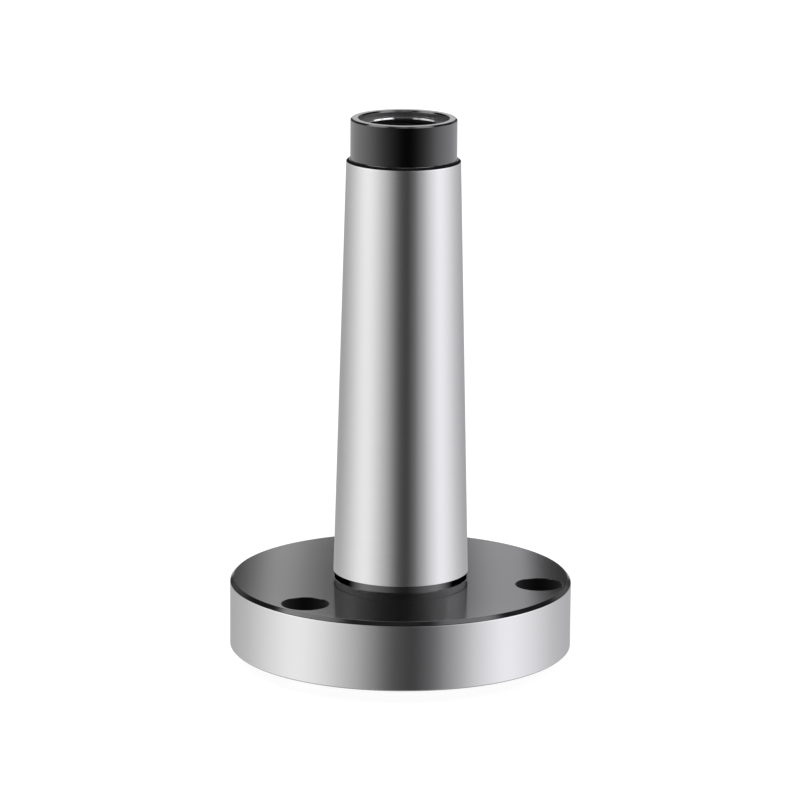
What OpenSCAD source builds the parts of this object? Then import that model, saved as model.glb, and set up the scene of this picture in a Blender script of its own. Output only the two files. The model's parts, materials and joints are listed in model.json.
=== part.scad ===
// Chuck adapter plate: a self-holding taper shank with a round flange at its
// foot, turned from one piece of steel. The shank sits in a machine spindle and
// a drawbar screws into its end. A small lathe chuck seats against the flange's
// front face, is centred by the register boss and is held by cap screws let into
// the flange's back. The steel is blackened, then the shank's taper and the
// flange's rim are finished bright.
// Sizes are in millimetres. +Z points up the shank, and the origin is the middle
// of the register boss's face, which the plate stands on.

/* [Flange] */
// Outer diameter of the flange, the same as the chuck body's
flange_d = 80; // [60:0.5:125]
// Thickness of the flange
flange_t = 16.3; // [12:0.1:24]
// Chamfer round the back edge, on the shank's side
back_chamfer = 0.8; // [0.2:0.1:1.2]
// Chamfer round the front edge, on the chuck's side
front_chamfer = 0.3; // [0.1:0.1:1.2]

/* [Register boss] */
// Distance of the boss's wall, which centres the chuck, in from the screws' axes
register_inset = 5.5; // [4.5:0.1:8]
// Height of the boss in front of the flange
register_h = 3; // [1.5:0.5:6]
// Lead-in chamfer round the boss's face
register_chamfer = 0.5; // [0.2:0.1:1.2]
// Width of the relief groove in the flange's face, round the boss's root
relief_w = 1; // [0.5:0.1:1.9]
// Depth of the relief groove
relief_depth = 0.3; // [0.1:0.1:0.8]

/* [Shank] */
// Diameter of the taper at its gauge plane
gauge_d = 31.267; // [30:0.001:33]
// Height of the gauge plane above the flange's back face
gauge_h = 6.5; // [4:0.5:9]
// Length over which the taper's diameter drops by one
taper_run = 19.254; // [18.5:0.001:21]
// Length of the whole shank, neck and tail included
shank_l = 109; // [95:0.5:120]
// Break on the ground taper's two end edges
edge_break = 0.1; // [0.02:0.01:0.14]

/* [Neck] */
// Height of the neck between the flange and the taper
neck_h = 1.7; // [1:0.1:4]
// Depth that the neck is turned below the taper's large end
neck_relief = 0.15; // [0.11:0.01:0.6]

/* [Tail] */
// Depth that the tail is turned below the taper's small end
tail_relief = 0.92; // [0.7:0.01:2]
// Length of the tail
tail_l = 10; // [6:0.1:14]
// Chamfer on the shoulder where the taper steps down to the tail
shoulder_chamfer = 0.5; // [0.1:0.1:0.7]
// Chamfer round the tail's end
tail_chamfer = 0.4; // [0.1:0.1:1]
// Radius that the turning tool leaves at the neck's foot and the tail's foot
root_fillet = 0.4; // [0.1:0.1:0.8]

/* [Drawbar hole] */
// Nominal diameter of the drawbar thread
thread_d = 16; // [12:1:18]
// Pitch of the drawbar thread
thread_pitch = 2; // [1:0.25:3]
// Depth of the full thread below the shank's end
thread_l = 32; // [24:1:44]
// Depth that the tapping drill goes on past the full thread
thread_runout = 6; // [3:0.5:10]
// Clearance of the centre cone's mouth round the thread, on the diameter
cone_clearance = 1; // [0.4:0.1:2]
// Width of the flat ring between the cone's mouth and the recess's wall
recess_ring = 1.7; // [0.8:0.1:2.4]
// Depth of the recess, which guards the cone
recess_depth = 1.4; // [0.5:0.1:3]
// Chamfer round the recess's mouth
recess_chamfer = 0.4; // [0.1:0.1:0.5]
// Full angle of the centre cones at both ends
centre_angle = 60; // [60:1:90]
// Full angle of the drills' points
drill_point = 118; // [90:1:140]

/* [Front centre] */
// Diameter of the front centre's cone at the boss's face
front_cone_d = 8.5; // [6:0.5:11]
// Diameter of the front centre's pilot drilling
pilot_d = 4; // [2.5:0.5:5]
// Depth of the pilot drilling below the boss's face
pilot_depth = 8.5; // [7:0.5:14]

/* [Chuck screws] */
// Number of cap screws
screw_count = 3; // [2:1:6]
// Distance of the screws' axes in from the flange's rim
screw_inset = 7; // [6.6:0.1:10]
// Angle of the first screw about the axis
first_screw_angle = -11.5; // [-180:0.1:180]
// Diameter of a screw
screw_d = 6; // [4:0.5:7]
// Clearance of a screw in its hole, on the diameter
screw_clearance = 0.6; // [0.2:0.1:1]
// Diameter of a screw's head
head_d = 10; // [8:0.5:10.5]
// Clearance round a head, on the diameter
head_clearance = 1; // [0.3:0.1:1.4]
// Height of a head
head_h = 6; // [4:0.5:8]
// Depth of a seated head below the flange's back face
head_sink = 0.5; // [0.1:0.1:2]
// Chamfer that takes the burr off a counterbore's mouth
mouth_break = 0.1; // [0.1:0.1:0.4]

/* [Hidden] */
$fn = 180;
// Length by which a cut runs past the face it opens on
over = 1;

black_steel = "#34353a";
ground_steel = "#b9bbbf";

// Heights of the faces, from the boss's face up
front_z = register_h;
back_z = front_z + flange_t;
neck_z = back_z + neck_h;
top_z = back_z + shank_l;
shoulder_z = top_z - tail_l;
gauge_z = back_z + gauge_h;

// Radii of the turned forms
flange_r = flange_d / 2;
screw_circle_r = flange_r - screw_inset;
register_r = screw_circle_r - register_inset;
large_r = taper_r(neck_z);
small_r = taper_r(shoulder_z);
neck_r = large_r - neck_relief;
step_r = small_r - edge_break - shoulder_chamfer;
tail_r = small_r - tail_relief;

// The tail's fillet takes no more of the shoulder than the chamfer leaves
tail_fillet = min(root_fillet, step_r - tail_r);

// Drawbar hole: the tapping drill leaves the thread's core
core_r = (thread_d - thread_pitch) / 2;
core_depth = thread_l + thread_runout;
cone_r = (thread_d + cone_clearance) / 2;
recess_r = cone_r + recess_ring;

// Screw holes and their counterbores
hole_r = (screw_d + screw_clearance) / 2;
counterbore_r = (head_d + head_clearance) / 2;
counterbore_depth = head_h + head_sink;

// Radius of the taper at a height: the gauge radius, less half the drop in
// diameter over the height above the gauge plane
function taper_r(z) = gauge_d / 2 - (z - gauge_z) / taper_run / 2;

// Depth of a cone of a given full angle between two radii
function cone_depth(mouth_r, foot_r, angle) = (mouth_r - foot_r) / tan(angle / 2);

// Concave quarter round that fills the corner between a step and a shaft, drawn
// in the lathe's half plane with the corner at [0, 0]
module corner_fillet(r) {
    difference() {
        square(r);
        translate([r, r]) circle(r = r);
    }
}

// Flange: a disc with a chamfer round each edge, and a shallow groove in its
// front face round the boss's root, so that the chuck seats square against it
module flange() {
    groove_z = front_z + relief_depth;
    color(black_steel)
    rotate_extrude()
    polygon([
        [0, front_z],
        [register_r, front_z],
        [register_r, groove_z],
        [register_r + relief_w, groove_z],
        [register_r + relief_w, front_z],
        [flange_r - front_chamfer, front_z],
        [flange_r, front_z + front_chamfer],
        [flange_r, back_z - back_chamfer],
        [flange_r - back_chamfer, back_z],
        [0, back_z]
    ]);
}

// Register boss: a low drum, chamfered to lead into the chuck's recess
module register_boss() {
    color(black_steel)
    rotate_extrude()
    polygon([
        [0, 0],
        [register_r - register_chamfer, 0],
        [register_r, register_chamfer],
        [register_r, front_z],
        [0, front_z]
    ]);
}

// Neck: turned just under the taper, so that the grinding wheel can run out
module neck() {
    color(black_steel)
    rotate_extrude() {
        translate([0, back_z]) square([neck_r, neck_h]);
        translate([neck_r, back_z]) corner_fillet(root_fillet);
    }
}

// Taper: the ground surface that grips in the spindle
module ground_taper() {
    low_z = neck_z + edge_break;
    high_z = shoulder_z - edge_break;
    color(ground_steel)
    rotate_extrude()
    polygon([
        [0, neck_z],
        [large_r - edge_break, neck_z],
        [taper_r(low_z), low_z],
        [taper_r(high_z), high_z],
        [small_r - edge_break, shoulder_z],
        [0, shoulder_z]
    ]);
}

// Tail: a plain end below the taper's size, with a chamfered shoulder
module tail() {
    step_z = shoulder_z + shoulder_chamfer;
    color(black_steel)
    rotate_extrude() {
        polygon([
            [0, shoulder_z],
            [small_r - edge_break, shoulder_z],
            [step_r, step_z],
            [tail_r, step_z],
            [tail_r, top_z - tail_chamfer],
            [tail_r - tail_chamfer, top_z],
            [0, top_z]
        ]);
        translate([tail_r, step_z]) corner_fillet(tail_fillet);
    }
}

// Drawbar hole, bored down from the shank's end: a shallow recess, the centre
// cone that the shank is ground on, then the tapping drill with its point
module drawbar_hole() {
    cone_z = top_z - recess_depth;
    core_z = top_z - core_depth;
    cone_h = cone_depth(cone_r, core_r, centre_angle);
    point_h = cone_depth(core_r, 0, drill_point);
    color(black_steel) {
        translate([0, 0, cone_z]) cylinder(h = recess_depth + over, r = recess_r);
        translate([0, 0, top_z - recess_chamfer])
            cylinder(h = recess_chamfer, r1 = recess_r, r2 = recess_r + recess_chamfer);
        translate([0, 0, cone_z - cone_h]) cylinder(h = cone_h, r1 = core_r, r2 = cone_r);
        translate([0, 0, core_z]) cylinder(h = cone_z - core_z, r = core_r);
        translate([0, 0, core_z - point_h]) cylinder(h = point_h, r1 = 0, r2 = core_r);
    }
}

// Centre hole in the boss's face, on the same axis
module front_centre() {
    cone_h = cone_depth(front_cone_d / 2, pilot_d / 2, centre_angle);
    point_h = cone_depth(pilot_d / 2, 0, drill_point);
    color(black_steel) {
        translate([0, 0, -over]) cylinder(h = over, d = front_cone_d);
        cylinder(h = cone_h, d1 = front_cone_d, d2 = pilot_d);
        cylinder(h = pilot_depth, d = pilot_d);
        translate([0, 0, pilot_depth]) cylinder(h = point_h, d1 = pilot_d, d2 = 0);
    }
}

// One screw hole: right through the flange, with a counterbore for the head
module screw_hole() {
    floor_z = back_z - counterbore_depth;
    color(black_steel) {
        translate([0, 0, front_z - over]) cylinder(h = flange_t + 2 * over, r = hole_r);
        translate([0, 0, floor_z]) cylinder(h = counterbore_depth + over, r = counterbore_r);
        translate([0, 0, back_z - mouth_break])
            cylinder(h = mouth_break, r1 = counterbore_r, r2 = counterbore_r + mouth_break);
    }
}

// The whole plate: one turned solid, bored at both ends and drilled for the screws
module adapter_plate() {
    difference() {
        union() {
            register_boss();
            flange();
            neck();
            ground_taper();
            tail();
        }
        drawbar_hole();
        front_centre();
        for (i = [0 : screw_count - 1])
            rotate([0, 0, first_screw_angle + i * 360 / screw_count])
            translate([screw_circle_r, 0, 0])
            screw_hole();
    }
}

adapter_plate();
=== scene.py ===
import math

import bmesh
import bpy
import numpy as np
from mathutils import Matrix, Vector
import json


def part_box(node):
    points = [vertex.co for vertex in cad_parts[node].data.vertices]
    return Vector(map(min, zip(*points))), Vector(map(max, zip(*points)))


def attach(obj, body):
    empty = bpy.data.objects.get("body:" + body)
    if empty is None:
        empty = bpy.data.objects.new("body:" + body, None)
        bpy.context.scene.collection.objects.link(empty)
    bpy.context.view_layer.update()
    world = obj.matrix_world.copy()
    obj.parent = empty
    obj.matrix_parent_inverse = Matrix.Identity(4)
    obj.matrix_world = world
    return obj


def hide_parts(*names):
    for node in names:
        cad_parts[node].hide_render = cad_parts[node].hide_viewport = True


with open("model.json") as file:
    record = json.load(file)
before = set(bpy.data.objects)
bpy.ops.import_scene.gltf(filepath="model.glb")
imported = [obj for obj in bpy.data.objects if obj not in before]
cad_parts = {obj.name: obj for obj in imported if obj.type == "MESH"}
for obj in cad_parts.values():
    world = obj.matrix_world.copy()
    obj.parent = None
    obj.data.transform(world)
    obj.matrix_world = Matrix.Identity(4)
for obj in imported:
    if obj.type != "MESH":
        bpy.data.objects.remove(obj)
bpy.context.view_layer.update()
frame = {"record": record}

# The camera: a long lens, well in front of the plate and looking a little down on it, so that the
# upright walls stay nearly parallel. It is turned a touch about its own line of sight, because the
# plate leans a little in the picture.
MM = 0.001
lens_mm = 212.047
camera_down = math.radians(13.2216)
camera_roll = math.radians(0.4243)
camera_distance = 1096.804 * MM
camera_target = Vector((-0.44, 0, 61.732)) * MM

camera = bpy.data.objects.new("camera", bpy.data.cameras.new("camera"))
bpy.context.scene.collection.objects.link(camera)
bpy.context.scene.camera = camera
camera.data.lens = lens_mm
camera.data.sensor_width = 36
backwards = Vector((0, -math.cos(camera_down), math.sin(camera_down)))
camera.matrix_world = (
    Matrix.Translation(camera_target + backwards * camera_distance)
    @ Matrix.Rotation(math.pi / 2 - camera_down, 4, "X")
    @ Matrix.Rotation(camera_roll, 4, "Z")
)


# The flange with its register boss and the shank's neck: turned from the same bar as the shank,
# then drilled and counterbored for the chuck's three screws. It is blackened all over and its rim
# is finished bright. Sizes are in millimetres; those that mounts state come from the frame.
# The rim's top is finished as a narrow facet, which leans in a little and shows as a bright line.
# Its last tenth of a millimetre is left black.
mounts = {mount["name"]: mount for mount in frame["record"]["mounts"]}
high_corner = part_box("adapter_plate")[1]
flange_r = round(high_corner.x / MM, 3)
seat_z = mounts["chuck_screws"]["pos_m"][2] / MM
back_z = mounts["screw_heads"]["pos_m"][2] / MM
screw_circle_r = mounts["chuck_screws"]["dims"]["pcd_mm"] / 2
screw_count = mounts["chuck_screws"]["dims"]["count"]
hole_r = mounts["chuck_screws"]["dims"]["hole_r_mm"]
counterbore_r = mounts["screw_heads"]["dims"]["hole_r_mm"]
register_r = mounts["register"]["dims"]["r_mm"]
gauge_r = 31.267 / 2
gauge_z = back_z + 6.5
taper_run = 19.254

register_chamfer = 0.5
relief_w = 1
relief_depth = 0.3
front_chamfer = 0.3
back_chamfer = 0.8
bright_edge = 0.35
black_edge = 0.1
bright_edge_slope = 1 / 8
counterbore_depth = 6.5
mouth_break = 0.1
first_screw_angle = math.radians(-11.5)
neck_z = back_z + 1.7
neck_relief = 0.15
neck_fillet = 0.12
neck_overlap = 0.02
large_r = gauge_r - (neck_z - gauge_z) / taper_run / 2
neck_r = large_r - neck_relief
pilot_r = 2
pilot_depth = 8.5
front_cone_r = 4.25
cone_slope = math.tan(math.radians(30))
point_slope = 1 / math.tan(math.radians(59))

# Points round the axis, and how a drilled face is shared out between its holes: each hole stands
# in a sector, this many points to either side of it, and the rest of the face is plain. A land is
# the plain edge that a drilled face leaves beside a corner.
round_steps = 192
sector_steps = 11
side_steps = 16
angles = first_screw_angle + np.linspace(0, 2 * math.pi, round_steps + 1)
land = 0.15
NECK, BLACK, BRIGHT, BORE, COARSE = 0, 1, 2, 3, 4


def rounded(corners, arc_steps=4, flat_gap=0.02):
    """A lathe profile with its corners rounded, from rows of radius, height, edge radius and the
    finish of the stretch that follows. An edge of radius R between stretches that meet at a turn
    of T begins R * tan(T / 2) before its corner. Its arc's centre lies R to the side that the
    profile turns to, and the arc's points are the start turned about it by equal shares of T. A
    point a short way outside each end of an arc keeps the stretches flat in their shading.
    Gives the points, and the finish of each stretch between them."""
    corners = np.asarray(corners, float)
    points, radius, finish = corners[:, :2], corners[1:-1, 2], corners[:, 3]
    run = np.diff(points, axis=0)
    length = np.hypot(*run.T)
    run /= length[:, None]
    before, after = run[:-1], run[1:]
    turn = np.arctan2(
        before[:, 0] * after[:, 1] - before[:, 1] * after[:, 0], (before * after).sum(1)
    )
    trim = (radius * np.tan(np.abs(turn) / 2))[:, None]
    gap_before = np.minimum(flat_gap, length[:-1] / 5)[:, None]
    gap_after = np.minimum(flat_gap, length[1:] / 5)[:, None]
    start, end = points[1:-1] - before * trim, points[1:-1] + after * trim
    inward = np.stack([-before[:, 1], before[:, 0]], -1) * np.sign(turn)[:, None]
    centre = start + inward * radius[:, None]
    share = np.linspace(0, 1, arc_steps + 1)[None, :] * turn[:, None]
    spoke = (start - centre)[:, None]
    arc = centre[:, None] + np.stack([
        spoke[..., 0] * np.cos(share) - spoke[..., 1] * np.sin(share),
        spoke[..., 0] * np.sin(share) + spoke[..., 1] * np.cos(share),
    ], -1)
    edges = np.concatenate(
        [(start - before * gap_before)[:, None], arc, (end + after * gap_after)[:, None]], 1
    )
    edge_finish = np.concatenate([
        finish[:-2, None],
        np.repeat(np.maximum(finish[:-2], finish[1:-1])[:, None], arc_steps, 1),
        np.repeat(finish[1:-1, None], 2, 1),
    ], 1)
    profile = np.concatenate([points[:1], edges.reshape(-1, 2), points[-1:]])
    return profile, np.concatenate([finish[:1], edge_finish.ravel()])


def turned(profile, turns, centre=(0, 0)):
    """The profile's points carried round an upright axis: radius * cos(turn), radius * sin(turn)
    and height, with a row of points for each point of the profile."""
    radius, height = profile[:, 0, None], profile[:, 1, None]
    return np.stack([
        centre[0] + radius * np.cos(turns),
        centre[1] + radius * np.sin(turns),
        height + 0 * turns,
    ], -1)


def drilled_face(from_r, to_r, height, mouth_r):
    """The sheets of a flat face between two radii, with the screws' holes in it. Round each hole
    a sector of the ring is cut out, its edge is walked point by point, and each point is joined
    to the hole's own circle at the same share of the way round. What is left is plain ring."""
    sheets = []
    third = round_steps // screw_count
    sector = np.arange(-sector_steps, sector_steps + 1) * 2 * math.pi / round_steps
    plain = np.arange(sector_steps, third - sector_steps + 1) * 2 * math.pi / round_steps
    radii = np.linspace(max(from_r, to_r), min(from_r, to_r), side_steps + 1)
    along_side = radii[1:-1]
    loop_r = np.concatenate([
        np.full(sector.size, radii[0]), along_side, np.full(sector.size, radii[-1]),
        along_side[::-1], radii[:1],
    ])
    side = np.full(along_side.size, sector[-1])
    loop_turn = np.concatenate([sector, side, sector[::-1], -side, sector[:1]])
    mouth_turn = (np.arange(loop_r.size) - sector_steps) * 2 * math.pi / (loop_r.size - 1)
    rings = np.stack([radii, np.full(radii.size, height)], -1)
    for screw in range(screw_count):
        axis = first_screw_angle + screw * 2 * math.pi / screw_count
        loop = np.stack([
            loop_r * np.cos(axis + loop_turn), loop_r * np.sin(axis + loop_turn),
            np.full(loop_r.size, height),
        ], -1)
        mouth = np.stack([
            screw_circle_r * math.cos(axis) + mouth_r * np.cos(axis + mouth_turn),
            screw_circle_r * math.sin(axis) + mouth_r * np.sin(axis + mouth_turn),
            np.full(loop_r.size, height),
        ], -1)
        sheets.append(np.stack([loop, mouth] if from_r > to_r else [mouth, loop]))
        sheets.append(turned(rings if from_r > to_r else rings[::-1], axis + plain))
    return sheets, mouth_turn


def closed_skin(name, sheets):
    """One object from sheets, each a grid of points in millimetres and the finish of its faces.
    The sheets meet point on point, so merging the doubles closes the skin."""
    points, faces, finishes = [], [], []
    for grid, finish in sheets:
        rows, columns = grid.shape[:2]
        index = sum(map(len, points)) + np.arange(rows * columns).reshape(rows, columns)
        quads = np.stack([index[:-1, :-1], index[:-1, 1:], index[1:, 1:], index[1:, :-1]], -1)
        points.append(grid.reshape(-1, 3))
        faces.append(quads.reshape(-1, 4))
        finishes.append(np.broadcast_to(finish, quads.shape[:2]).ravel())
    points, faces, finishes = map(np.concatenate, (points, faces, finishes))
    mesh = bpy.data.meshes.new(name)
    mesh.from_pydata((points * MM).tolist(), [], faces.tolist())
    mesh.polygons.foreach_set("material_index", finishes.astype(np.int32))
    skin = bmesh.new()
    skin.from_mesh(mesh)
    bmesh.ops.remove_doubles(skin, verts=skin.verts, dist=0.0005 * MM)
    skin.to_mesh(mesh)
    skin.free()
    mesh.shade_smooth()
    mesh.set_sharp_from_angle(angle=math.radians(27))
    piece = bpy.data.objects.new(name, mesh)
    bpy.context.scene.collection.objects.link(piece)
    return piece


# Radius, height, edge radius, and finish of the stretch that follows. The neck's top runs a hair
# up into the shank, and its foot ends where the drilled face begins.
boss = [
    (0, pilot_depth + pilot_r * point_slope, 0, BORE),
    (pilot_r, pilot_depth, 0.1, BORE),
    (pilot_r, (front_cone_r - pilot_r) / cone_slope, 0.1, BLACK),
    (front_cone_r, 0, 0.08, BLACK),
    (register_r - register_chamfer, 0, 0.1, BLACK),
    (register_r, register_chamfer, 0.15, BLACK),
    (register_r, seat_z + relief_depth, 0.1, BLACK),
    (register_r + relief_w, seat_z + relief_depth, 0.1, BLACK),
    (register_r + relief_w, seat_z, 0.05, BLACK),
    (register_r + relief_w + land, seat_z, 0, BLACK),
]
facet_r = flange_r - bright_edge * bright_edge_slope
rim = [
    (flange_r - front_chamfer - land, seat_z, 0, BLACK),
    (flange_r - front_chamfer, seat_z, 0.08, BLACK),
    (flange_r, seat_z + front_chamfer, 0.03, BRIGHT),
    (flange_r, back_z - back_chamfer - bright_edge, 0.1, BRIGHT),
    (facet_r + black_edge * bright_edge_slope, back_z - back_chamfer - black_edge, 0, BORE),
    (facet_r, back_z - back_chamfer, 0.05, BLACK),
    (flange_r - back_chamfer, back_z, 0.12, BLACK),
    (flange_r - back_chamfer - land, back_z, 0, BLACK),
]
screw_hole = [
    (counterbore_r + mouth_break + land, back_z, 0, BLACK),
    (counterbore_r + mouth_break, back_z, 0.03, BLACK),
    (counterbore_r, back_z - mouth_break, 0.03, BORE),
    (counterbore_r, back_z - counterbore_depth, 0.1, BORE),
    (hole_r, back_z - counterbore_depth, 0.1, BORE),
    (hole_r, seat_z, 0.1, BLACK),
    (hole_r + 2 * land, seat_z, 0, BLACK),
]
shank_foot_r = 18
neck = [
    (shank_foot_r, back_z, 0, BLACK),
    (neck_r, back_z, neck_fillet, NECK),
    (neck_r, neck_z + neck_overlap, 0.01, NECK),
    (0, neck_z + neck_overlap, 0, NECK),
]

sheets = []
for corners in (boss, rim, neck):
    profile, finish = rounded(corners)
    sheets.append((turned(profile, angles), finish[:, None]))
seat, mouth_turn = drilled_face(boss[-1][0], rim[0][0], seat_z, screw_hole[-1][0])
back, mouth_turn = drilled_face(rim[-1][0], shank_foot_r, back_z, screw_hole[0][0])
sheets += [(sheet, BLACK) for sheet in seat + back]
for screw in range(screw_count):
    axis = first_screw_angle + screw * 2 * math.pi / screw_count
    profile, finish = rounded(screw_hole)
    middle = (screw_circle_r * math.cos(axis), screw_circle_r * math.sin(axis))
    sheets.append((turned(profile, axis + mouth_turn, middle), finish[:, None]))
flange = closed_skin("flange", sheets)
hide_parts("adapter_plate")
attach(flange, "root")

# The blackened flange is left out of the mirror images in the ground taper, so that the taper
# stays bright down to its foot.
flange.visible_glossy = False


def linear(hex_colour):
    """An sRGB colour, written as in #c0ffee, as linear red, green, blue and a full alpha."""
    shares = [int(hex_colour[place:place + 2], 16) / 255 for place in (1, 3, 5)]
    return [s / 12.92 if s <= 0.04045 else ((s + 0.055) / 1.055) ** 2.4 for s in shares] + [1]


def add(tree, kind, inputs=None, **settings):
    """Adds a node of a kind to a tree with its settings. An input that is given a socket is linked
    to it, and any other input gets the value."""
    node = tree.nodes.new(kind)
    for name, value in settings.items():
        setattr(node, name, value)
    for name, value in (inputs or {}).items():
        if isinstance(value, bpy.types.NodeSocket):
            tree.links.new(value, node.inputs[name])
        else:
            node.inputs[name].default_value = value
    return node


def lathe_marks(tree, marks_per_mm, sweep):
    """Noise that runs round the axis, as a tool or a wheel marks turned steel. It is read at
    radius + height across the marks, which steps evenly over a wall, a face and a taper alike,
    and at the direction from the axis times sweep along them."""
    place = add(tree, "ShaderNodeTexCoord").outputs["Object"]
    height = add(tree, "ShaderNodeSeparateXYZ", {0: place}).outputs["Z"]
    flat = add(
        tree, "ShaderNodeVectorMath", {0: place, 1: (1, 1, 0)}, operation="MULTIPLY"
    ).outputs[0]
    radius = add(tree, "ShaderNodeVectorMath", {0: flat}, operation="LENGTH").outputs["Value"]
    across = add(tree, "ShaderNodeMath", {0: radius, 1: height}, operation="ADD").outputs[0]
    across = add(
        tree, "ShaderNodeMath", {0: across, 1: marks_per_mm / MM}, operation="MULTIPLY"
    ).outputs[0]
    direction = add(tree, "ShaderNodeVectorMath", {0: flat}, operation="NORMALIZE").outputs[0]
    direction = add(
        tree, "ShaderNodeVectorMath", {0: direction, "Scale": sweep}, operation="SCALE"
    ).outputs[0]
    upright = add(tree, "ShaderNodeCombineXYZ", {"Z": across}).outputs[0]
    where = add(
        tree, "ShaderNodeVectorMath", {0: direction, 1: upright}, operation="ADD"
    ).outputs[0]
    return add(tree, "ShaderNodeTexNoise", {"Vector": where, "Scale": 1, "Detail": 2}).outputs[0]


def turned_finish(name, colour, roughness, spread, stretch, marks_per_mm, sweep, height_mm):
    """A metal with marks round its axis: they vary its roughness by a spread either way, and they
    stand a height proud. Stretch draws reflections out across the marks."""
    material = bpy.data.materials.new(name)
    material.use_nodes = True
    tree = material.node_tree
    steel = tree.nodes["Principled BSDF"]
    steel.inputs["Metallic"].default_value = 1
    steel.inputs["Base Color"].default_value = linear(colour)
    steel.inputs["Anisotropic"].default_value = stretch
    steel.inputs["Anisotropic Rotation"].default_value = 0.25
    marks = lathe_marks(tree, marks_per_mm, sweep)
    rough = add(tree, "ShaderNodeMapRange", {
        "Value": marks, "From Min": 0.3, "From Max": 0.7,
        "To Min": roughness - spread, "To Max": roughness + spread,
    }).outputs[0]
    tree.links.new(rough, steel.inputs["Roughness"])
    relief = add(tree, "ShaderNodeBump", {
        "Strength": 1, "Distance": height_mm * MM, "Height": marks,
    }).outputs[0]
    tree.links.new(relief, steel.inputs["Normal"])
    round_axis = add(tree, "ShaderNodeTangent", direction_type="RADIAL", axis="Z").outputs[0]
    tree.links.new(round_axis, steel.inputs["Tangent"])
    return material


# Black oxide on fine turned steel: a thin, oiled magnetite skin. It is near black face on and
# shines at a low angle. The real feed is about 0.08 mm; the rings are drawn at 0.3 mm.
black_oxide = turned_finish("black_oxide_turned", "#2e2e2e", 0.13, 0.015, 0.1, 3, 6, 0.00012)
tree = black_oxide.node_tree
low_angle = add(tree, "ShaderNodeLayerWeight", {"Blend": 0.5}).outputs["Facing"]
low_angle = add(tree, "ShaderNodeMath", {0: low_angle, 1: 1.6}, operation="POWER").outputs[0]
shine = add(tree, "ShaderNodeMix", {
    0: low_angle, 6: linear("#2e2e2e"), 7: linear("#cfcfcf"),
}, data_type="RGBA").outputs[2]
tree.links.new(shine, tree.nodes["Principled BSDF"].inputs["Base Color"])

# Ground steel: cylindrically ground bright, with silky marks round the axis that draw reflections
# out along it. The grit's real marks, near 0.02 mm, are drawn at 0.15 mm.
ground_steel = turned_finish("ground_steel", "#dadada", 0.17, 0.02, 0.3, 6, 4, 0.00012)

# Black oxide on the neck, cut by a plain tool: greyer where it faces the eye, and black where it
# turns away. The black at the neck's sides is painted shade.
neck_oxide_painted_shade = turned_finish("black_oxide_oily", "#6b6b6b", 0.2, 0.03, 0, 3, 6, 0.00012)
tree = neck_oxide_painted_shade.node_tree
tree.nodes["Principled BSDF"].inputs["Specular Tint"].default_value = [0, 0, 0, 1]
# Painted shade: the base colour goes to near black where the neck turns away from the eye
painted_side_shade = add(tree, "ShaderNodeMapRange", {
    "Value": add(tree, "ShaderNodeLayerWeight", {"Blend": 0.5}).outputs["Facing"],
    "From Min": 0.16, "From Max": 0.42,
}, interpolation_type="SMOOTHSTEP").outputs[0]
neck_colour_painted_shade = add(tree, "ShaderNodeMix", {
    0: painted_side_shade, 6: linear("#6b6b6b"), 7: linear("#0c0c0c"),
}, data_type="RGBA").outputs[2]
tree.links.new(neck_colour_painted_shade, tree.nodes["Principled BSDF"].inputs["Base Color"])

# Black oxide in the recess of the shank's end, bored with a coarse feed: rougher, and a light grey
# metal all round.
coarse_oxide = turned_finish("black_oxide_coarse", "#bcbcbc", 0.32, 0.05, 0, 3, 6, 0.0003)

# Black oxide in the drilled holes: left dull and a little sooty, since nothing rubs or oils it.
dull_oxide = bpy.data.materials.new("black_oxide_dull")
dull_oxide.use_nodes = True
tree = dull_oxide.node_tree
skin = tree.nodes["Principled BSDF"]
skin.inputs["Specular IOR Level"].default_value = 0.1
place = add(tree, "ShaderNodeTexCoord").outputs["Object"]
soot = add(tree, "ShaderNodeTexNoise", {
    "Vector": place, "Scale": 0.8 / MM, "Detail": 3,
}).outputs[0]
shade = add(tree, "ShaderNodeMix", {
    0: soot, 6: linear("#0b0b0c"), 7: linear("#151516"),
}, data_type="RGBA").outputs[2]
tree.links.new(shade, skin.inputs["Base Color"])
rough = add(tree, "ShaderNodeMapRange", {"Value": soot, "To Min": 0.5, "To Max": 0.7}).outputs[0]
tree.links.new(rough, skin.inputs["Roughness"])

steel_finishes = (neck_oxide_painted_shade, black_oxide, ground_steel, dull_oxide, coarse_oxide)
for finish in steel_finishes:
    flange.data.materials.append(finish)


# The shank: the ground self-holding taper, and a tail that stays blackened. Its end is bored with
# a recess, the centre cone that it is ground on, and the drawbar's tapped hole. Its root runs on
# through the neck into the flange, because all of it is one piece of steel. The taper's top edge
# leans in a little over its last 0.3 mm and shows as a light line, and a centre has rubbed the
# cone's mouth bright.
top_z = round(high_corner.z / MM, 3)
core_r = mounts["drawbar_thread"]["dims"]["r_mm"]
tail_l = 10
shoulder_z = top_z - tail_l
top_edge = 0.3
top_edge_slope = 1 / 16
edge_break = 0.1
shoulder_chamfer = 0.5
tail_relief = 0.92
tail_chamfer = 0.4
tail_fillet = 0.2
root_depth = 1
root_r = neck_r - 0.05

recess_r = 10.2
recess_depth = 1.4
recess_chamfer = 0.4
recess_z = top_z - recess_depth
cone_r = 8.5
rubbed_band = 0.35
core_depth = 38
core_foot_z = top_z - core_depth
bore_foot_z = core_foot_z + 2
thread_r = 8
thread_pitch = 2
thread_l = 32
thread_foot_z = top_z - thread_l
thread_lead = 3
crest_bevel = 0.06

small_r = gauge_r - (shoulder_z - gauge_z) / taper_run / 2
tail_r = small_r - tail_relief
step_r = small_r - edge_break - shoulder_chamfer
band_z = recess_z - rubbed_band
band_r = cone_r - rubbed_band * cone_slope


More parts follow.
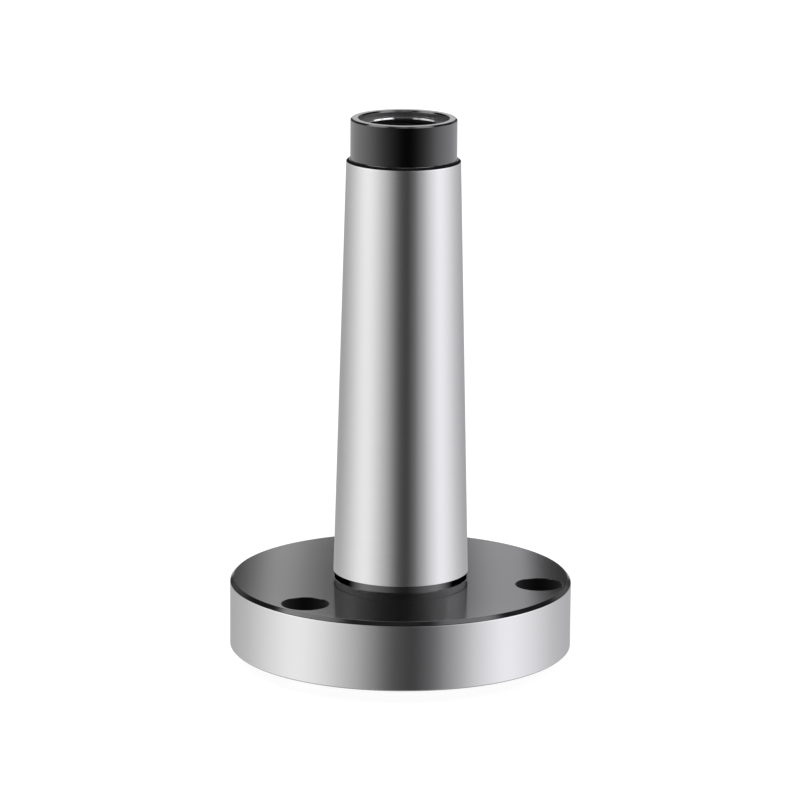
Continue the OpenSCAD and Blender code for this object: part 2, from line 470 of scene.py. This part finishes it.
def tapped_bore(foot_z):
    """The tapped bore with its centre cone, as rows of points that follow the thread's rise. The
    thread's section is a crest at the tapping drill's radius, two 30 degree flanks and a root at
    the thread's own radius, and the crest's edges are bevelled. At turn t the section stands
    pitch * t / 360 degrees higher. The cone cuts it where the cone is wider. Each straight stretch
    of the section has one free point, which slides to where the cone cuts the stretch."""
    depth = thread_r - core_r
    root_w = thread_pitch / 8
    crest_w = thread_pitch - root_w - 2 * depth * cone_slope
    section = np.array([
        (crest_bevel - crest_w / 2, 0),
        (crest_w / 2 - crest_bevel, 0),
        (crest_w / 2 + crest_bevel * cone_slope, crest_bevel),
        (crest_w / 2 + depth * cone_slope, depth),
        (crest_w / 2 + depth * cone_slope + root_w, depth),
        (thread_pitch - crest_w / 2 - crest_bevel * cone_slope, crest_bevel),
    ])
    turns = math.ceil((band_z - foot_z) / thread_pitch) + 2
    lift = (np.arange(turns) * thread_pitch)[:, None]
    corner_z = np.append((section[:, 0] + lift).ravel(), section[0, 0] + turns * thread_pitch)
    corner_depth = np.append(np.tile(section[:, 1], turns), section[0, 1])
    rise = (angles - angles[0]) / (2 * math.pi) * thread_pitch
    z = foot_z - thread_pitch + corner_z[:, None] + rise
    fade = np.clip((z - thread_foot_z) / thread_lead, 0, 1)
    r = core_r + corner_depth[:, None] * fade
    over_cone = r - (band_r - (band_z - z) * cone_slope)
    crosses = over_cone[:-1] * over_cone[1:] < 0
    drop = np.where(crosses, -np.diff(over_cone, axis=0), 1)
    share = np.where(crosses, over_cone[:-1] / drop, 0.5)
    z = np.stack([z[:-1], z[:-1] + share * np.diff(z, axis=0)], 1).reshape(-1, angles.size)
    r = np.stack([r[:-1], r[:-1] + share * np.diff(r, axis=0)], 1).reshape(-1, angles.size)
    z = np.clip(z, foot_z, band_z)
    r = np.where(z <= foot_z, core_r, np.maximum(r, band_r - (band_z - z) * cone_slope))
    return np.stack([r * np.cos(angles), r * np.sin(angles), z], -1)[::-1]


# Radius, height, edge radius, and finish of the stretch that follows
outside = [
    (0, back_z - root_depth, 0, BLACK),
    (root_r, back_z - root_depth, 0.01, BRIGHT),
    (root_r, neck_z, 0.01, BORE),
    (large_r, neck_z, 0.005, BRIGHT),
    (small_r, shoulder_z - top_edge, 0.1, BRIGHT),
    (small_r - top_edge * top_edge_slope, shoulder_z, 0.02, BORE),
    (step_r, shoulder_z + shoulder_chamfer, 0.08, BLACK),
    (tail_r, shoulder_z + shoulder_chamfer, tail_fillet, BLACK),
    (tail_r, top_z - tail_chamfer, 0.15, BLACK),
    (tail_r - tail_chamfer, top_z, 0.12, BLACK),
    (recess_r + recess_chamfer, top_z, 0.06, BLACK),
    (recess_r, top_z - recess_chamfer, 0.06, COARSE),
    (recess_r, recess_z, 0.02, BLACK),
    (cone_r, recess_z, 0.02, BRIGHT),
    (band_r, band_z, 0, BLACK),
]
drill_point = [
    (core_r, bore_foot_z, 0, BORE),
    (core_r, core_foot_z, 0.15, BORE),
    (0, core_foot_z - core_r * point_slope, 0, BORE),
]
sheets = [(tapped_bore(bore_foot_z), BORE)]
for corners in (outside, drill_point):
    profile, finish = rounded(corners)
    sheets.append((turned(profile, angles), finish[:, None]))
shank = closed_skin("taper_shank", sheets)
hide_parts("adapter_plate")
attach(shank, "root")
for finish in steel_finishes:
    shank.data.materials.append(finish)


# The floor is a plain pale sheet. It is white to the camera, but for the plate's soft shadow. It
# lies a hair under the boss's face, and from below it is clear, so that the underside can be seen.
floor_half = 3
floor_z = -0.02 * MM
floor_mesh = bpy.data.meshes.new("floor")
floor_mesh.from_pydata([
    (-floor_half, -floor_half, floor_z),
    (floor_half, -floor_half, floor_z),
    (floor_half, floor_half, floor_z),
    (-floor_half, floor_half, floor_z),
], [], [(0, 1, 2, 3)])
floor = bpy.data.objects.new("floor", floor_mesh)
bpy.context.scene.collection.objects.link(floor)
floor.visible_glossy = False
paper = bpy.data.materials.new("white_paper")
paper.use_nodes = True
tree = paper.node_tree
tree.nodes.remove(tree.nodes["Principled BSDF"])
sees = add(tree, "ShaderNodeLightPath")
shadowed = add(tree, "ShaderNodeBsdfDiffuse", {"Color": linear("#8a8a8a")}).outputs[0]
glow = add(
    tree, "ShaderNodeMath", {0: sees.outputs["Is Camera Ray"], 1: 0.95}, operation="MULTIPLY"
).outputs[0]
white = add(tree, "ShaderNodeEmission", {"Strength": glow}).outputs[0]
both = add(tree, "ShaderNodeAddShader", {0: shadowed, 1: white}).outputs[0]
from_below = add(tree, "ShaderNodeNewGeometry").outputs["Backfacing"]
clear = add(tree, "ShaderNodeBsdfTransparent").outputs[0]
one_sided = add(tree, "ShaderNodeMixShader", {0: from_below, 1: both, 2: clear}).outputs[0]
tree.links.new(one_sided, tree.nodes["Material Output"].inputs["Surface"])
floor_mesh.materials.append(paper)


def levels_along(tree, share, low, high, levels):
    """A smooth curve through pairs of a place and a light level, read at a share of the way from
    the low place to the high one. A colour ramp holds nothing over 1, so it holds shares of the
    brightest level."""
    ramp = add(tree, "ShaderNodeValToRGB", {0: share})
    ramp.color_ramp.interpolation = "CARDINAL"
    brightest = max(level for place, level in levels)
    elements = ramp.color_ramp.elements
    elements.remove(elements[-1])
    for number, (place, level) in enumerate(levels):
        at = (place - low) / (high - low)
        element = elements.new(at) if number else elements[0]
        element.position = at
        element.color = [level / brightest] * 3 + [1]
    return add(
        tree, "ShaderNodeMath", {0: ramp.outputs[0], 1: brightest}, operation="MULTIPLY"
    ).outputs[0]


def share_between(tree, value, low, high, step="SMOOTHSTEP"):
    """How far a value has come from low to high: 0 to 1, and no further either way."""
    return add(tree, "ShaderNodeMapRange", {
        "Value": value, "From Min": low, "From Max": high,
    }, interpolation_type=step).outputs[0]


# The light is neutral on the left, and faintly cool on the right.
neutral_light, cool_light = "#fbfbfb", "#fcfbff"

# A strip light lies level behind the plate, over the height of the flange. It has two soft bars,
# shines only down and is seen only in mirror images, where the black face shows it.
strip_light = [(-50, 0.07), (-43, 0.13), (-38, 0.33), (-34, 0.5), (-31, 0.51), (-26, 0.39),
               (-20, 0.23), (0, 0.12), (18, 0.3), (24, 0.49), (32.5, 0.52), (36, 0.25), (40, 0.07),
               (50, 0.05)]
strip_z = 60
strip_near, strip_far = 90, 210
strip_half = 60
strip_mesh = bpy.data.meshes.new("strip_light")
strip_mesh.from_pydata([
    (-strip_half * MM, strip_near * MM, strip_z * MM),
    (strip_half * MM, strip_near * MM, strip_z * MM),
    (strip_half * MM, strip_far * MM, strip_z * MM),
    (-strip_half * MM, strip_far * MM, strip_z * MM),
], [], [(3, 2, 1, 0)])
strip = bpy.data.objects.new("strip_light", strip_mesh)
bpy.context.scene.collection.objects.link(strip)
strip.visible_camera = False
strip.visible_diffuse = False
strip.visible_shadow = False
bars = bpy.data.materials.new("strip_light")
bars.use_nodes = True
tree = bars.node_tree
tree.nodes.remove(tree.nodes["Principled BSDF"])
place = add(tree, "ShaderNodeTexCoord").outputs["Object"]
across = add(tree, "ShaderNodeSeparateXYZ", {0: place}).outputs["X"]
across = share_between(tree, across, -strip_half * MM, strip_half * MM, "LINEAR")
level = levels_along(tree, across, -strip_half, strip_half, strip_light)
cool = share_between(tree, across, 0.45, 0.55)
tint = add(tree, "ShaderNodeMix", {
    0: cool, 6: linear(neutral_light), 7: linear(cool_light),
}, data_type="RGBA").outputs[2]
down = add(tree, "ShaderNodeEmission", {"Color": tint, "Strength": level}).outputs[0]
up = add(tree, "ShaderNodeBsdfTransparent").outputs[0]
from_above = add(tree, "ShaderNodeNewGeometry").outputs["Backfacing"]
one_sided = add(tree, "ShaderNodeMixShader", {0: from_above, 1: down, 2: up}).outputs[0]
tree.links.new(one_sided, tree.nodes["Material Output"].inputs["Surface"])
strip_mesh.materials.append(bars)

# The studio: soft light from both sides, dim behind the camera and half bright behind the plate.
# The level depends on the way round from the camera, in degrees, and on whether the light comes
# from below or just above the horizon. The sky over it is dim, and the white floor throws light up.
side_light = [(-180, 0.46), (-147, 0.58), (-123, 0.75), (-106, 0.95), (-92, 1.1), (-80, 1.2),
              (-68, 1.15), (-47, 0.83), (-28, 0.5), (-14, 0.22), (-7, 0.125), (0, 0.085),
              (12, 0.09), (28, 0.3), (47, 0.71), (68, 1.11), (80, 1.2), (92, 1.11), (106, 0.96),
              (123, 0.76), (147, 0.59), (180, 0.46)]
upper_light = [(-180, 0.7), (-171, 0.4), (-162, 0.1), (-150, 0.11), (-135, 0.13), (-105, 0.12),
               (-80, 0.1), (-44, 0.032), (-22, 0.015), (0, 0.01), (20, 0.02), (42, 0.067),
               (65, 0.145), (92, 0.21), (121, 0.25), (135, 0.23), (150, 0.17), (162, 0.1),
               (171, 0.4), (180, 0.7)]
horizon_gain, horizon_behind = 1.55, 0.1
sky_light, sky_top_light, floor_light = 0.04, 0.3, 0.9

# Where one light passes into the next, as upright shares of the direction looked in
floor_from, floor_to = -0.6, -0.85
horizon_from, horizon_to = -0.1, -0.03
upper_from, upper_to = 0.05, 0.12
sky_from, sky_to = 0.33, 0.45
sky_top_from, sky_top_to = 0.8, 0.95

world = bpy.data.worlds.new("studio")
bpy.context.scene.world = world
world.use_nodes = True
tree = world.node_tree
towards = add(tree, "ShaderNodeTexCoord").outputs["Generated"]
direction = add(tree, "ShaderNodeSeparateXYZ", {0: towards})
height = direction.outputs["Z"]
towards_camera = add(
    tree, "ShaderNodeMath", {0: direction.outputs["Y"], 1: -1}, operation="MULTIPLY"
).outputs[0]
way_round = add(
    tree, "ShaderNodeMath", {0: direction.outputs["X"], 1: towards_camera}, operation="ARCTAN2"
).outputs[0]


# The light tent is drawn in where the foot of the taper sees it: there the pattern is a sixth
# narrower and 5 degrees further right. The horizon, which only edges see, is brightest at the
# sides and dark behind the plate.
taper_top, taper_foot = -0.13, -0.215
narrower, further_right = 0.19, math.radians(6.5)
drawn_in = add(tree, "ShaderNodeMapRange", {
    "Value": height, "From Min": taper_top, "From Max": taper_foot, "To Min": -0.2, "To Max": 1,
}).outputs[0]
drawn_in = add(tree, "ShaderNodeMath", {
    0: drawn_in, 1: share_between(tree, height, -0.265, -0.235),
}, operation="MULTIPLY").outputs[0]
shift = add(tree, "ShaderNodeMath", {
    0: way_round, 1: narrower, 2: -further_right,
}, operation="MULTIPLY_ADD").outputs[0]
tent_round = add(
    tree, "ShaderNodeMath", {0: shift, 1: drawn_in, 2: way_round}, operation="MULTIPLY_ADD"
).outputs[0]
tent_share = share_between(tree, tent_round, -math.pi, math.pi, "LINEAR")
tent = levels_along(tree, tent_share, -180, 180, side_light)
aside = add(tree, "ShaderNodeMath", {0: way_round}, operation="ABSOLUTE").outputs[0]
at_horizon = add(tree, "ShaderNodeMapRange", {
    "Value": aside, "From Min": 2.4, "From Max": 2.7,
    "To Min": horizon_gain, "To Max": horizon_behind,
}).outputs[0]
gain = add(tree, "ShaderNodeMapRange", {
    "Value": height, "From Min": horizon_from, "From Max": horizon_to,
    "To Min": 1, "To Max": at_horizon,
}).outputs[0]
tent = add(tree, "ShaderNodeMath", {0: tent, 1: gain}, operation="MULTIPLY").outputs[0]
upper_share = share_between(tree, way_round, -math.pi, math.pi, "LINEAR")
upper = levels_along(tree, upper_share, -180, 180, upper_light)
sky = add(tree, "ShaderNodeMix", {
    "Factor": share_between(tree, height, sky_top_from, sky_top_to),
    "A": sky_light, "B": sky_top_light,
}).outputs[0]
level = add(tree, "ShaderNodeMix", {
    "Factor": share_between(tree, height, upper_from, upper_to), "A": tent, "B": upper,
}).outputs[0]
level = add(tree, "ShaderNodeMix", {
    "Factor": share_between(tree, height, sky_from, sky_to), "A": level, "B": sky,
}).outputs[0]
level = add(tree, "ShaderNodeMix", {
    "Factor": share_between(tree, height, floor_from, floor_to), "A": level, "B": floor_light,
}).outputs[0]


def softbox(round_degrees, up_degrees, spread_degrees, bright):
    """The light of a round softbox: full within half its spread of its middle, and none beyond the
    spread, by the cosine of the angle between the box and the direction looked in."""
    turn, up = math.radians(round_degrees), math.radians(up_degrees)
    middle = (math.sin(turn) * math.cos(up), -math.cos(turn) * math.cos(up), math.sin(up))
    cosine = add(
        tree, "ShaderNodeVectorMath", {0: towards, 1: middle}, operation="DOT_PRODUCT"
    ).outputs["Value"]
    edge, full = math.cos(math.radians(spread_degrees)), math.cos(math.radians(spread_degrees / 2))
    inside = share_between(tree, cosine, edge, full)
    return add(tree, "ShaderNodeMath", {0: inside, 1: bright}, operation="MULTIPLY").outputs[0]


# Softboxes, by the way round, the height, the spread and the brightness: a broad one overhead with
# a small one beside it, two at the back, a pair high at the sides, and four lower to the right and
# four to the left
softboxes = [
    (0, 90, 16, 0.9), (0, 84, 7, 0.4), (180, 72, 22, 1.5), (180, 42, 30, 0.5),
    (-93, 54, 20, 2.1), (78, 62, 18, 2.2),
    (113, 27, 6, 1.6), (97, 33, 12, 1.8), (72, 39, 12, 1.7), (52, 44, 9, 1.6),
    (-113, 27, 6, 1.0), (-97, 33, 12, 0.85), (-72, 39, 12, 0.65), (-47, 45, 10, 0.7),
]
for place in softboxes:
    level = add(tree, "ShaderNodeMath", {0: level, 1: softbox(*place)}, operation="ADD").outputs[0]
tint = add(tree, "ShaderNodeMix", {
    0: share_between(tree, way_round, -0.1, 0.1), 6: linear(neutral_light), 7: linear(cool_light),
}, data_type="RGBA").outputs[2]
light = add(
    tree, "ShaderNodeVectorMath", {0: tint, "Scale": level}, operation="SCALE"
).outputs[0]
light = add(tree, "ShaderNodeMix", {
    0: add(tree, "ShaderNodeLightPath").outputs["Is Camera Ray"], 6: light, 7: [1, 1, 1, 1],
}, data_type="RGBA").outputs[2]
tree.links.new(light, tree.nodes["Background"].inputs["Color"])

bpy.context.scene.view_settings.view_transform = "Standard"
